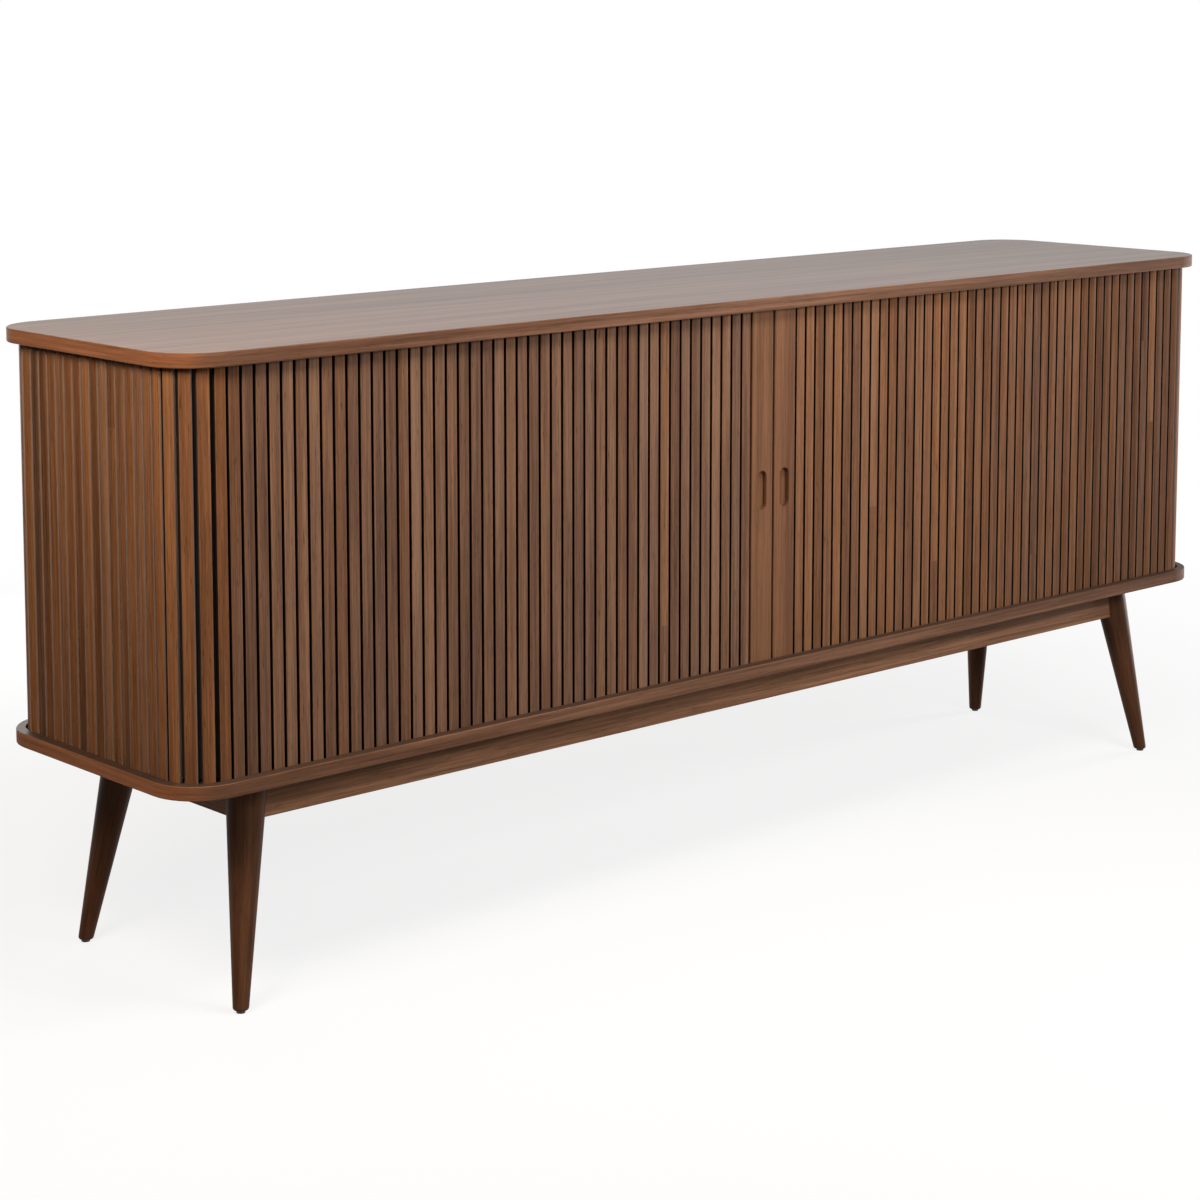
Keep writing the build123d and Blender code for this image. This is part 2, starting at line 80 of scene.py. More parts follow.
# Rows of slats on each door's track, with the numbers of their first and last slats
SLAT_ROWS = (("front", 0, 44), ("corner", 45, 48), ("side", 49, 64), ("rear", 65, 67))

# Wood of the slats: tones run from -1, dark, to 1, pale, and hues from -1, cool, to 1, warm
MIDDLE_TONE = 0.6
FRONT_TONE_SPREAD, END_TONE_SPREAD = 0.34, 0.5
# Painted light in the mean hues: the left door's slats are cooler, a painted sheen, the right
# door's warmer, and the slats past the front warmer still, painted warm light on the ends
FRONT_HUE, DOOR_SHEEN_HUE, FRONT_HUE_SPREAD = -0.1, 0.32, 0.14
LIT_END_HUE, END_HUE_SPREAD = 0.55, 0.3
COOL_SLAT, WARM_SLAT = (0.9, 1.0, 1.16, 1.0), (1.13, 0.96, 0.74, 1.0)
GRAIN_SEEDS = 40

# Slats joined from two lengths: heights of the joint and most that the upper length differs
JOINT_LOW, JOINT_HIGH, NO_JOINT = 0.36, 0.72, 9.0
JOINT_TONE, JOINT_HUE = 0.6, 0.5
JOINT_SEED = 53.7

# Painted light on the boards' veneer: a rim warmer and brighter on the ends and darker on the
# front, and flats greyer and bluer as a painted sheen; and a height between the two boards
RIM_LIGHT_AT_ENDS, RIM_SHADE_AT_FRONT = (1.28, 1.1, 0.97, 1.0), (0.84, 0.85, 0.86, 1.0)
FLATS_SHEEN_TINT = (0.86, 1.03, 1.24, 1.0)
BETWEEN_BOARDS = 0.4

# Slope of the legs, along the length and along the depth
LEG_LEAN_X, LEG_LEAN_Y = 0.1523, 0.1487

# Lamps: place, aim, width, height, tint, and whether they show in reflections
WHITE_LIGHT, WARM_LIGHT = (1.0, 1.0, 1.0), (1.0, 0.84, 0.63)
LAMPS = {
    "front": ((-0.1, -0.95, 1.75), (-0.1, -0.2, 0.9), 1.6, 0.4, WHITE_LIGHT, False),
    "far": ((0.15, -1.9, 1.25), (0.15, 0.0, 0.55), 0.9, 0.5, WHITE_LIGHT, False),
    "low": ((-0.2, -2.4, 0.3), (-0.2, -0.1, 0.3), 2.4, 0.5, WHITE_LIGHT, True),
    "left": ((-1.62, -0.45, 1.25), (-1.0, -0.05, 0.8), 0.5, 0.4, WARM_LIGHT, False),
    "corner": ((-2.05, -0.95, 1.45), (-1.0, -0.1, 1.25), 0.5, 0.5, WARM_LIGHT, True),
    "right": ((2.9, -0.4, 0.4), (0.6, -0.1, 0.35), 0.5, 0.5, WHITE_LIGHT, True),
    "rear": ((0.0, 2.2, 0.55), (0.0, 0.2, 0.5), 2.4, 0.5, WHITE_LIGHT, True),
}

# The floor lies a hair under the feet and fades to white between two distances from the middle
FLOOR_DROP = 0.0005
FADE_START, FADE_END, LEAST_WHITE = 0.6, 2.6, 0.8


def stain(red, green, blue):
    """A colour given in 0 to 255 steps, as the linear values that Blender's colours hold."""
    steps = [step / 255 for step in (red, green, blue)]
    return [v / 12.92 if v <= 0.04045 else ((v + 0.055) / 1.055) ** 2.4 for v in steps]


def length(name, description, default):
    return FloatProperty(
        name=name, description=description, default=default, unit="LENGTH", precision=5
    )


def power(name, description, default):
    return FloatProperty(name=name, description=description, default=default, unit="POWER")


def colour(name, description, default):
    return FloatVectorProperty(
        name=name, description=description, default=stain(*default), subtype="COLOR", min=0, max=1
    )


class TrackSettings(PropertyGroup):
    """Sizes of the slats and of the track that they run on."""

    slat_width: length("Slat width", "Width of a slat's face", 0.01515)
    slat_depth: length("Slat depth", "Back to face of a slat, a hair behind the stiles", 0.0058)
    slat_rounding: length("Slat rounding", "Radius of a slat's two front edges", 0.0012)
    slat_pitch: length("Slat pitch", "From one slat to the next along the track", 0.01915)
    first_slat: length("First slat", "From the middle to the first slat's middle", 0.053575)
    front_run: length("Front run", "Half length of the straight front track", 0.916)
    side_run: length("Side run", "Length of the straight end track", 0.292)
    track_depth: length("Track depth", "From the middle to the track at front and back", 0.192)
    track_radius: length("Track radius", "Radius of the track's corners", 0.046)
    slat_foot: length("Slat foot", "Height of the slats' lower ends", SLAT_BOX[0].z)
    slat_head: length("Slat head", "Height of the slats' upper ends", SLAT_BOX[1].z)
    slat_turn: FloatProperty(
        name="Slat turn", description="Most that one slat is turned on the canvas",
        default=math.radians(0.45), subtype="ANGLE",
    )
    joint_share: FloatProperty(
        name="Jointed slats", description="Share of the slats that are joined from two lengths",
        default=0.14, subtype="FACTOR", min=0, max=1,
    )
    seed: IntProperty(name="Seed", description="Start of the random draws", default=41)


class CanvasSettings(PropertyGroup):
    """Sizes of the canvas behind the slats."""

    thickness: length("Thickness", "Thickness of the canvas", 0.001)
    thread: length("Thread", "From one thread of the weave to the next", 0.0011)
    corner_steps: IntProperty(
        name="Corner steps", description="Faces round one corner", default=16, min=4
    )


class FinishSettings(PropertyGroup):
    """Colours of the finishes."""

    # Painted light on the slats' sides: a grey painted highlight on sides that face front or back,
    # and dark painted shade in the gaps
    slat_flank_highlight: colour("Slat edge", "Sides of the slats next to the face", (120, 102, 96))
    slat_gap_shade: colour("Slat side", "Sawn sides of the slats, soaked with stain", (26, 19, 15))
    slat_dark: colour("Slat dark", "Dark streaks of the slats", (69, 48, 36))
    slat_middle: colour("Slat middle", "Usual tone of the slats", (102, 72, 54))
    slat_light: colour("Slat light", "Light streaks of the slats", (130, 95, 71))
    board_dark: colour("Board dark", "Dark streaks of the top and bottom boards", (99, 68, 51))
    board_light: colour("Board light", "Light streaks of the top and bottom boards", (133, 96, 75))
    # Painted shade: the dark colour of the bottom board's upper face, where it lies in shade
    shaded_ledge: colour("Ledge", "Upper face of the bottom board, dulled by the doors", (50, 35, 26))
    stile_dark: colour("Stile dark", "Dark streaks of the lead stiles", (96, 64, 45))
    stile_light: colour("Stile light", "Light streaks of the lead stiles", (119, 82, 58))
    leg_dark: colour("Leg dark", "Dark streaks of the legs", (66, 41, 27))
    leg_light: colour("Leg light", "Light streaks of the legs", (93, 61, 42))
    # The rails' colours are lighter than the rest of the walnut: painted light in place of light
    # that reaches the rails under the bottom board
    rail_dark: colour("Rail dark", "Dark streaks of the rails", (113, 79, 58))
    rail_light: colour("Rail light", "Light streaks of the rails", (162, 117, 88))
    inside_dark: colour("Inside dark", "Dark streaks of the panels and shelves", (104, 69, 48))
    inside_light: colour("Inside light", "Light streaks of the panels and shelves", (146, 103, 74))
    canvas: colour("Canvas", "Threads of the canvas", (13, 12, 12))
    beech: colour("Beech", "Dowels", (206, 170, 124))
    zinc: colour("Zinc", "Plated screws, bolts, washers, nuts and pins", (186, 188, 190))
    rubber: colour("Rubber", "Door stops", (38, 37, 36))
    glide: colour("Glide", "Plastic glides under the feet", (46, 42, 40))


class StageSettings(PropertyGroup):
    """Camera, lamps and floor."""

    camera_place: FloatVectorProperty(
        name="Camera place", description="Where the camera stands",
        default=(-2.7221, -2.8384, 1.1939), subtype="TRANSLATION",
    )
    camera_yaw: FloatProperty(
        name="Camera yaw", description="Turn of the camera to the right",
        default=math.radians(42.249), subtype="ANGLE",
    )
    camera_pitch: FloatProperty(
        name="Camera pitch", description="Tilt of the camera, down below zero",
        default=math.radians(-6.703), subtype="ANGLE",
    )
    camera_lens: FloatProperty(
        name="Lens", description="Focal length", default=83.19, unit="CAMERA"
    )
    camera_shift: FloatProperty(name="Shift", description="Upright lens shift", default=-0.22)
    front_power: power("Front", "Power of the lamp over the front", 17)
    far_power: power("Far", "Power of the lamp further out at the front", 26)
    low_power: power("Low", "Power of the low lamp at the front", 5)
    left_power: power("Left", "Power of the lamp over the left end", 14.5)
    corner_power: power("Corner", "Power of the lamp at the left front corner", 6)
    right_power: power("Right", "Power of the lamp at the right end", 44)
    rear_power: power("Rear", "Power of the lamp behind", 30)
    ambient: FloatProperty(
        name="Ambient", description="Even light from all round", default=0.03, min=0
    )
    floor_size: length("Floor size", "Side of the floor", 60.0)
    floor: colour("Floor", "Pale floor", (232, 231, 229))
    floor_bounce: colour("Floor bounce", "Floor as it lights the sideboard", (110, 108, 105))


class SideboardSettings(PropertyGroup):
    """All settings of the sideboard."""

    track: PointerProperty(type=TrackSettings)
    canvas: PointerProperty(type=CanvasSettings)
    finish: PointerProperty(type=FinishSettings)
    stage: PointerProperty(type=StageSettings)


# Hands for node trees

def add_node(tree, kind, inputs=None, **settings):
    """Adds a shader node, sets it and feeds its inputs with values or with other nodes' outputs."""
    made = tree.nodes.new("ShaderNode" + kind)
    for name, value in settings.items():
        setattr(made, name, value)
    for key, value in (inputs or {}).items():
        if isinstance(value, bpy.types.NodeSocket):
            tree.links.new(value, made.inputs[key])
        else:
            made.inputs[key].default_value = value
    return made


def calc(tree, operation, *values):
    return add_node(tree, "Math", dict(enumerate(values)), operation=operation).outputs[0]


def remap(tree, value, low, high, to_low=0.0, to_high=1.0):
    inputs = {
        "Value": value, "From Min": low, "From Max": high, "To Min": to_low, "To Max": to_high,
    }
    return add_node(tree, "MapRange", inputs, interpolation_type="SMOOTHSTEP").outputs[0]


def mix_colours(tree, share, first, second, mode="MIX"):
    inputs = {0: share, 6: first, 7: second}
    return add_node(tree, "Mix", inputs, data_type="RGBA", blend_type=mode).outputs[2]


def opaque(value):
    return (*value[:3], 1.0)


def new_material(name, **shader_values):
    """A material with an empty Principled shader, whose even values are set straight on it."""
    material = bpy.data.materials.new(name)
    material.use_nodes = True
    shader = material.node_tree.nodes["Principled BSDF"]
    for socket, value in shader_values.items():
        shader.inputs[socket.replace("_", " ")].default_value = value
    return material, material.node_tree, shader


def object_place(tree):
    return add_node(tree, "TexCoord").outputs["Object"]


def facing(tree):
    """The three parts of the surface's normal."""
    return split(tree, add_node(tree, "NewGeometry").outputs["Normal"])


def split(tree, vector):
    return add_node(tree, "SeparateXYZ", {0: vector}).outputs


def combine(tree, *values):
    return add_node(tree, "CombineXYZ", dict(enumerate(values))).outputs[0]


def feed_relief(tree, shader, height, strength, distance):
    """Gives a shader a fine relief from a height."""
    bump = add_node(tree, "Bump", {"Height": height, "Strength": strength, "Distance": distance})
    tree.links.new(bump.outputs[0], shader.inputs["Normal"])


# Shared effects

def streaks(tree, vector, seed, across, along, detail, wander=0.0):
    """Noise drawn out along the third axis; across and along are features to the metre."""
    drawn = add_node(
        tree, "VectorMath", {0: vector, 1: (across, across, along)}, operation="MULTIPLY"
    ).outputs[0]
    inputs = {
        "Vector": drawn, "W": seed, "Scale": 1.0, "Detail": detail, "Roughness": 0.55,
        "Distortion": wander,
    }
    return add_node(tree, "TexNoise", inputs, noise_dimensions="4D").outputs[0]


def new_group(name, inputs, outputs):
    group = bpy.data.node_groups.new(name, "ShaderNodeTree")
    for socket, kind in inputs:
        group.interface.new_socket(socket, in_out="INPUT", socket_type=kind)
    for socket in outputs:
        group.interface.new_socket(socket, in_out="OUTPUT", socket_type="NodeSocketFloat")
    given = group.nodes.new("NodeGroupInput").outputs
    wanted = group.nodes.new("NodeGroupOutput").inputs
    return group, given, wanted


def wood_grain():
    """Node group: bands, figure lines, fibres and pores of walnut, grain along the third axis."""
    found = bpy.data.node_groups.get("Wood Grain")
    if found:
        return found
    group, given, wanted = new_group(
        "Wood Grain",
        (("Vector", "NodeSocketVector"), ("Seed", "NodeSocketFloat")),
        ("Bands", "Figure", "Fibre", "Pores"),
    )
    seed = calc(group, "MULTIPLY", given["Seed"], 7.31)
    bands = streaks(group, given["Vector"], seed, 62.0, 1.5, 3.0, wander=0.4)
    lines = calc(group, "PINGPONG", calc(group, "MULTIPLY", bands, 9.0), 0.5)
    figure = calc(group, "POWER", calc(group, "MULTIPLY", lines, 2.0), 2.5)
    coarse = streaks(group, given["Vector"], seed, 330.0, 6.0, 2.0)
    fine = streaks(group, given["Vector"], seed, 1250.0, 26.0, 1.0)
    fibre = calc(group, "MULTIPLY_ADD", fine, 0.4, calc(group, "MULTIPLY", coarse, 0.6))
    pores = streaks(group, given["Vector"], seed, 900.0, 48.0, 1.0)
    for name, value in (
        ("Bands", remap(group, bands, 0.3, 0.7)),
        ("Figure", figure),
        ("Fibre", remap(group, fibre, 0.32, 0.68)),
        ("Pores", remap(group, pores, 0.6, 0.72)),
    ):
        group.links.new(value, wanted[name])
    return group


def place_grain(tree, vector, seed):
    made = tree.nodes.new("ShaderNodeGroup")
    made.node_tree = wood_grain()
    tree.links.new(vector, made.inputs["Vector"])
    if isinstance(seed, bpy.types.NodeSocket):
        tree.links.new(seed, made.inputs["Seed"])
    else:
        made.inputs["Seed"].default_value = seed
    return made.outputs


# Ways that the grain runs. Each gives a vector with the grain along its third axis.

def grain_upright(tree):
    return object_place(tree)


def grain_lengthwise(tree):
    x, y, z = split(tree, object_place(tree))
    return combine(tree, y, z, x)


def grain_crosswise(tree):
    x, y, z = split(tree, object_place(tree))
    return combine(tree, x, z, y)


def lies_flat(tree):
    """1 on faces that look straight up or down, 0 on the others."""
    return calc(tree, "GREATER_THAN", calc(tree, "ABSOLUTE", facing(tree)[2]), 0.7)


def grain_of_board(tree):
    """Lengthwise on the flat faces; it follows the edge round the rim, with the joint behind."""
    x, y, z = split(tree, object_place(tree))
    flat = combine(tree, y, z, x)
    from_front = calc(tree, "ADD", y, -cad_box[0].y)
    round_rim = calc(tree, "MULTIPLY_ADD", calc(tree, "SIGN", x), from_front, x)
    rim = combine(tree, z, 0.0, round_rim)
    made = add_node(tree, "Mix", {0: lies_flat(tree), 4: rim, 5: flat}, data_type="VECTOR")
    return made.outputs[1]


def grain_of_leg(tree):
    """Along the splayed legs: each leg's own lean is taken out of the place."""
    x, y, z = split(tree, object_place(tree))
    lean_x = calc(tree, "MULTIPLY_ADD", z, LEG_LEAN_X, calc(tree, "ABSOLUTE", x))
    lean_y = calc(tree, "MULTIPLY_ADD", z, LEG_LEAN_Y, calc(tree, "ABSOLUTE", y))
    apart = calc(tree, "MULTIPLY_ADD", calc(tree, "SIGN", y), 3.0, calc(tree, "SIGN", x))
    return combine(tree, calc(tree, "ADD", lean_x, apart), lean_y, z)


# Materials

def walnut(name, dark, light, run_of_grain, seed, figure, fibre, pores, rough=None):
    """Stained walnut in a satin lacquer.

    Figure, fibre and pores are numbers, or functions that make them in the tree. Without a value
    for rough, the caller sets the roughness.
    """
    material, tree, shader = new_material(name, Specular_IOR_Level=0.06)
    if callable(fibre):
        figure, fibre, pores = figure(tree), fibre(tree), pores(tree)
    grain = place_grain(tree, run_of_grain(tree), seed)
    wood = mix_colours(tree, grain["Bands"], opaque(dark), opaque(light))
    lines = calc(tree, "MULTIPLY", grain["Figure"], figure)
    wood = mix_colours(tree, lines, wood, opaque([0.62 * v for v in dark]))
    swing = calc(tree, "MULTIPLY_ADD", grain["Fibre"], 1.5, -1.0)
    shade = calc(tree, "MULTIPLY_ADD", swing, fibre, 1.0)
    wood = mix_colours(tree, 1.0, wood, combine(tree, shade, shade, shade), mode="MULTIPLY")
    specks = calc(tree, "MULTIPLY", grain["Pores"], pores)
    wood = mix_colours(tree, specks, wood, opaque([0.3 * v for v in dark]))
    tree.links.new(wood, shader.inputs["Base Color"])
    if rough is not None:
        dull = remap(tree, grain["Fibre"], 0.0, 1.0, rough + 0.07, rough - 0.03)
        tree.links.new(dull, shader.inputs["Roughness"])
    relief = calc(tree, "SUBTRACT", calc(tree, "MULTIPLY", grain["Fibre"], 0.5), specks)
    feed_relief(tree, shader, relief, 0.25, 0.00015)
    return material


def calm_on_flats(on_rim, on_flat):
    """A grain strength that is one value on the rim and another on the flat faces."""
    return lambda tree: remap(tree, lies_flat(tree), 0.0, 1.0, on_rim, on_flat)


def board_walnut(finish):
    """Veneer of the two boards: lacquered flats with a painted grey sheen, a rim in painted light,
    warmer on the ends and darker on the front, and a dull, unlacquered upper face of the bottom
    board in painted shade.
    """
    material = walnut(
        "board_walnut", finish.board_dark, finish.board_light, grain_of_board, 2.0,
        calm_on_flats(0.25, 0.12), calm_on_flats(0.3, 0.22), calm_on_flats(0.35, 0.3),
    )
    tree = material.node_tree
    shader = tree.nodes["Principled BSDF"]
    shader.inputs["Coat Roughness"].default_value = 0.3
    flat = lies_flat(tree)
    low = calc(tree, "LESS_THAN", split(tree, object_place(tree))[2], BETWEEN_BOARDS)
    shaded_ledge = calc(tree, "MULTIPLY", flat, low)
    lacquer = calc(tree, "MULTIPLY", calc(tree, "SUBTRACT", flat, shaded_ledge), 0.46)
    tree.links.new(lacquer, shader.inputs["Coat Weight"])
    tree.links.new(remap(tree, flat, 0.0, 1.0, 0.68, 0.46), shader.inputs["Roughness"])
    wood = shader.inputs["Base Color"].links[0].from_socket
    # Painted light: the rim warmer and brighter on the ends and darker on the front, the flats
    # greyer and bluer as a painted sheen
    at_front = remap(tree, calc(tree, "ABSOLUTE", facing(tree)[1]), 0.75, 1.0)
    rim = mix_colours(tree, at_front, RIM_LIGHT_AT_ENDS, RIM_SHADE_AT_FRONT)
    tint = mix_colours(tree, flat, rim, FLATS_SHEEN_TINT)
    wood = mix_colours(tree, 1.0, wood, tint, mode="MULTIPLY")
    # The bottom board's upper face goes most of the way to its darker colour: painted shade
    with_painted_shade = mix_colours(tree, calc(tree, "MULTIPLY", shaded_ledge, 0.8), wood, opaque(finish.shaded_ledge))
    tree.links.new(with_painted_shade, shader.inputs["Base Color"])
    return material


def walnut_slat(finish):
    """Walnut whose grain, tone and hue change from slat to slat, and at a slat's joint."""
    material, tree, shader = new_material("slat_walnut", Specular_IOR_Level=0.015)
    wood_of_slat = add_node(tree, "Attribute", attribute_name="slat_wood").outputs["Vector"]
    joint_of_slat = add_node(tree, "Attribute", attribute_name="slat_joint").outputs["Vector"]
    across = add_node(tree, "Attribute", attribute_name="slat_across").outputs["Fac"]
    behind = add_node(tree, "Attribute", attribute_name="slat_behind").outputs["Fac"]
    place = object_place(tree)
    seed, tone, hue = split(tree, wood_of_slat)
    joint_height, joint_tone, joint_hue = split(tree, joint_of_slat)
    above = calc(tree, "GREATER_THAN", split(tree, place)[2], joint_height)
    seed = calc(tree, "MULTIPLY_ADD", above, JOINT_SEED, seed)
    tone = calc(tree, "MULTIPLY_ADD", above, joint_tone, tone)
    hue = calc(tree, "MULTIPLY_ADD", above, joint_hue, hue)
    grain = place_grain(tree, place, seed)

    level = calc(tree, "MULTIPLY_ADD", tone, 0.3, 0.1)
    level = calc(tree, "MULTIPLY_ADD", grain["Bands"], 0.36, level)
    level = calc(tree, "MULTIPLY_ADD", grain["Fibre"], 0.46, level)
    ramp = add_node(tree, "ValToRGB", {0: level})
    stops = ramp.color_ramp.elements
    stops[0].color = opaque(finish.slat_dark)
    stops[1].color = opaque(finish.slat_light)
    stops.new(0.5).color = opaque(finish.slat_middle)
    lines = calc(tree, "MULTIPLY", grain["Figure"], 0.3)
    wood = mix_colours(tree, lines, ramp.outputs[0], opaque(finish.slat_dark))
    warm = remap(tree, hue, -1.0, 1.0)
    tint = mix_colours(tree, warm, COOL_SLAT, WARM_SLAT)
    wood = mix_colours(tree, 1.0, wood, tint, mode="MULTIPLY")
    specks = calc(tree, "MULTIPLY", grain["Pores"], 0.55)
    wood = mix_colours(tree, specks, wood, opaque([0.35 * v for v in finish.slat_dark]))
    from_middle = calc(tree, "ABSOLUTE", across)
    # Lighter rounded front edges: a painted highlight
    edge_highlight = calc(tree, "MULTIPLY", remap(tree, from_middle, 0.82, 0.95), 0.18)
    wood = mix_colours(tree, edge_highlight, wood, opaque(finish.slat_light))

    # Painted light on the sides: near the face, sides that face front or back take a grey painted
    # highlight and the others dark painted shade; deeper in the gaps all take the painted shade,
    # which in the bends, where the sides show, starts further from the face
    sideways, forward = (calc(tree, "ABSOLUTE", way) for way in facing(tree)[:2])
    at_ends = remap(tree, forward, 0.2, 0.7)
    in_bend = remap(tree, calc(tree, "MINIMUM", sideways, forward), 0.15, 0.35)
    side = mix_colours(tree, at_ends, opaque(finish.slat_gap_shade), opaque(finish.slat_flank_highlight))
    on_side = calc(tree, "GREATER_THAN", from_middle, 0.97)
    painted_side_mask = calc(tree, "MULTIPLY", on_side, remap(tree, behind, 0.06, 0.16))
    wood = mix_colours(tree, painted_side_mask, wood, side)
    depth = calc(tree, "MULTIPLY_ADD", in_bend, -0.5, behind)
    wood = mix_colours(tree, remap(tree, depth, 0.44, 0.56), wood, opaque(finish.slat_gap_shade))
    tree.links.new(wood, shader.inputs["Base Color"])
    dull = remap(tree, grain["Fibre"], 0.0, 1.0, 0.72, 0.6)
    tree.links.new(dull, shader.inputs["Roughness"])
    relief = calc(tree, "SUBTRACT", calc(tree, "MULTIPLY", grain["Fibre"], 0.5), specks)
    feed_relief(tree, shader, relief, 0.3, 0.0002)
    return material


def black_canvas(finish, thread):
    """Plain weave along the sheet's own map, with lighter thread tops and darker hollows."""
    material, tree, shader = new_material("woven_canvas", Specular_IOR_Level=0.2, Sheen_Weight=0.15)
    run, rise, _ = split(tree, add_node(tree, "TexCoord").outputs["UV"])
    turns = math.tau / (2 * thread)
    warp = calc(tree, "SINE", calc(tree, "MULTIPLY", run, turns))
    weft = calc(tree, "SINE", calc(tree, "MULTIPLY", rise, turns))
    weave = remap(tree, calc(tree, "MULTIPLY", warp, weft), -1.0, 1.0)
    cloud = {"Scale": 60.0, "Detail": 4.0, "Vector": object_place(tree)}
    noise = add_node(tree, "TexNoise", cloud).outputs[0]
    light = calc(tree, "MULTIPLY", weave, noise)
    hollow, top = (opaque([share * v for v in finish.canvas]) for share in (0.6, 1.6))
    cloth = mix_colours(tree, light, hollow, top)
    tree.links.new(cloth, shader.inputs["Base Color"])
    tree.links.new(remap(tree, noise, 0.3, 0.7, 0.82, 0.95), shader.inputs["Roughness"])
    feed_relief(tree, shader, weave, 0.5, 0.0003)
    return material


def mottled(name, tint, size, spread, rough, relief, stretch=(1.0, 1.0, 1.0), **shader_values):
    """A plain made material with small changes of tone, roughness and surface."""
    material, tree, shader = new_material(name, **shader_values)
    place = add_node(tree, "Mapping", {"Vector": object_place(tree), "Scale": stretch}).outputs[0]
    coarse = {"Vector": place, "Scale": size, "Detail": 5.0}
    cloud = add_node(tree, "TexNoise", coarse).outputs[0]
    fine = {"Vector": place, "Scale": size * 9, "Detail": 2.0}
    speck = add_node(tree, "TexNoise", fine).outputs[0]
    dark = opaque([v * (1 - spread) for v in tint])
    light = opaque([min(1.0, v * (1 + spread)) for v in tint])
    body = mix_colours(tree, remap(tree, cloud, 0.3, 0.7), dark, light)
    tree.links.new(body, shader.inputs["Base Color"])
    dull = remap(tree, speck, 0.3, 0.7, rough - 0.08, rough + 0.08)
    tree.links.new(dull, shader.inputs["Roughness"])
    feed_relief(tree, shader, speck, relief, 0.0001)
    return material


# Plain walnuts: colours, run of the grain, seed, figure, fibre, pores and roughness
WALNUTS = {
    "stile_walnut": ("stile", grain_upright, 3.0, 0.12, 0.25, 0.3, 0.46),
    "leg_walnut": ("leg", grain_of_leg, 4.0, 0.1, 0.22, 0.25, 0.44),
    # The rails take the lighter rail colours: painted light
    "long_rail_walnut": ("rail", grain_lengthwise, 5.0, 0.4, 0.3, 0.4, 0.46),
    "short_rail_walnut": ("rail", grain_crosswise, 6.0, 0.4, 0.3, 0.4, 0.46),
    "inside_walnut_upright": ("inside", grain_upright, 7.0, 0.3, 0.3, 0.35, 0.5),
    "inside_walnut_long": ("inside", grain_lengthwise, 8.0, 0.3, 0.3, 0.35, 0.5),
}

# Made materials: colour, clouds to the metre, spread of tone, roughness, relief and the rest
MOTTLED = {
    "dowel_beech": ("beech", 40.0, 0.15, 0.6, 0.2, {"stretch": (1.0, 1.0, 0.2)}),
    "plated_steel": ("zinc", 120.0, 0.12, 0.32, 0.15, {"Metallic": 1.0}),
    "stop_rubber": ("rubber", 200.0, 0.2, 0.75, 0.4, {}),
    "foot_plastic": ("glide", 150.0, 0.15, 0.5, 0.25, {}),
}


def finish_named(name):
    """The material of that name, made at its first use."""
    found = bpy.data.materials.get(name)
    if found:
        return found
    settings = bpy.context.scene.sideboard
    finish = settings.finish
    if name == "slat_walnut":
        return walnut_slat(finish)
    if name == "woven_canvas":
        return black_canvas(finish, settings.canvas.thread)
    if name == "board_walnut":
        return board_walnut(finish)
    if name in WALNUTS:
        wood, *grain = WALNUTS[name]
        dark, light = getattr(finish, f"{wood}_dark"), getattr(finish, f"{wood}_light")
        return walnut(name, dark, light, *grain)
    tint, *marks, rest = MOTTLED[name]
    return mottled(name, getattr(finish, tint), *marks, **rest)


# Hands for meshes

def clear_selection():
    """Nothing selected and object mode, so that an operator acts only on what is chosen next."""
    if bpy.context.object and bpy.context.object.mode != "OBJECT":
        bpy.ops.object.mode_set(mode="OBJECT")
    bpy.ops.object.select_all(action="DESELECT")


def choose(*pieces):
    clear_selection()
    for piece in pieces:
        piece.select_set(True)
    bpy.context.view_layer.objects.active = pieces[0]


def choose_elements(piece, elements):
    """Selects these vertices or edges of the piece and goes into edit mode."""
    choose(piece)
    mesh = piece.data
    by_edges = bool(elements) and isinstance(elements[0], bpy.types.MeshEdge)
    for kind in (mesh.vertices, mesh.edges, mesh.polygons):
        kind.foreach_set("select", [False] * len(kind))
    for element in elements:
        element.select = True
    bpy.context.tool_settings.mesh_select_mode = (not by_edges, by_edges, False)
    bpy.ops.object.mode_set(mode="EDIT")


def leave_edit():
    bpy.ops.object.mode_set(mode="OBJECT")


def settle(piece):
    """Puts a piece's place, turn and size into its mesh."""
    choose(piece)
    bpy.ops.object.transform_apply(location=True, rotation=True, scale=True)


def finish_piece(piece, name, body, slot, material, *stands_for):
    """Names a piece, finishes it and ties it to its body and to the nodes that it stands for."""
    piece.name = piece.data.name = name
    piece.data.materials.clear()
    piece.data.materials.append(finish_named(material))
    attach(piece, body)
    if stands_for:
        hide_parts(*stands_for)
    return piece


def dress(material, *names):
    """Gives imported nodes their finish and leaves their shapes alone."""
    for name in names:
        node = cad[name]
        if not node.material_slots:
            node.data.materials.append(None)
        for place in node.material_slots:
            place.material = finish_named(material)


def track_place(track, index, side):
    """Place of a slat's back on the track and its turn: front, bend, end and bend again."""
    bend_run = track.track_radius * math.pi / 2
    past_front = track.first_slat + index * track.slat_pitch - track.front_run
    if past_front <= 0:
        return Vector((side * (track.front_run + past_front), -track.track_depth, 0)), 0.0
    past_bend = past_front - bend_run
    past_side = past_bend - track.side_run
    if past_bend <= 0:
        turn, middle = past_front / track.track_radius, -track.side_run / 2
    elif past_side <= 0:
        turn, middle = math.pi / 2, -track.side_run / 2 + past_bend
    else:
        turn, middle = math.pi / 2 + past_side / track.track_radius, track.side_run / 2
    x = track.front_run + track.track_radius * math.sin(turn)
    y = middle - track.track_radius * math.cos(turn)
    return Vector((side * x, y, 0)), side * turn


